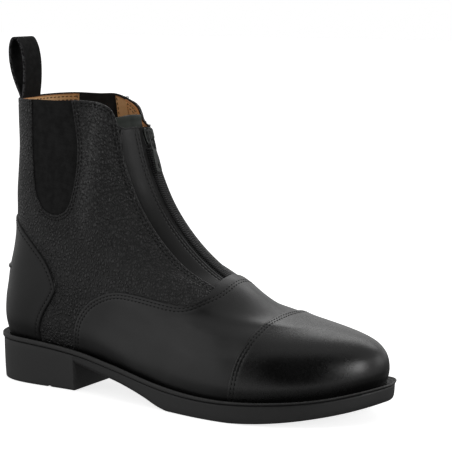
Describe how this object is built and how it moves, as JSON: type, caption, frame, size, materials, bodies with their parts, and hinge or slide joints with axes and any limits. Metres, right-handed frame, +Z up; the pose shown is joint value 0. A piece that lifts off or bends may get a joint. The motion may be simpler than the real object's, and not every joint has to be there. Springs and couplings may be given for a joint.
{
  "type": "zip boot",
  "caption": "Right ankle boot in black leather with a front zip, elastic side gores, a heel pull loop and a low-heeled moulded rubber sole.",
  "frame": {"origin": "middle of the sole's outline, on the floor", "axes": "+X towards the toe, -Y towards the lateral (outer) side of the foot, +Z up"},
  "size_m": [0.2936, 0.1071, 0.235],
  "materials": {
    "smooth_leather": "smooth black leather, semi-gloss",
    "grained_leather": "black leather with a pebbled grain",
    "tan_lining": "tan lining leather, matt",
    "guard_leather": "dark grey-green smooth leather, matt",
    "gore_elastic": "black ribbed elastic",
    "webbing": "black woven strap",
    "zip_tape": "black woven tape",
    "zip_teeth": "black moulded teeth",
    "black_metal": "black lacquered metal, semi-gloss",
    "sole_rubber": "matt black moulded rubber",
    "insole_leather": "tan insole cover"
  },
  "bodies": {
    "boot": {"outsole": "sole_rubber", "welt": "sole_rubber", "insole": "insole_leather", "upper": "tan_lining", "quarter_lateral": "grained_leather", "quarter_medial": "grained_leather", "vamp": "smooth_leather", "toe_cap": "smooth_leather", "heel_counter": "smooth_leather", "spur_rest": "smooth_leather", "zip_facing_lateral": "smooth_leather", "zip_facing_medial": "smooth_leather", "gore_lateral": "gore_elastic", "gore_medial": "gore_elastic", "zip_tape_lateral": "zip_tape", "zip_tape_medial": "zip_tape", "zip_chain": "zip_teeth", "zip_guard": "guard_leather", "zip_slider": "black_metal", "pull_loop": "webbing"},
    "pull_tab": {"zip_pull_tab": "black_metal"}
  },
  "joints": [
    {"name": "pull_tab_hinge", "type": "hinge", "parent": "boot", "child": "pull_tab", "pos_m": [-0.03088, 0.00457, 0.17389], "axis": [0, -1, 0], "range_deg": [0, 150]}
  ]
}
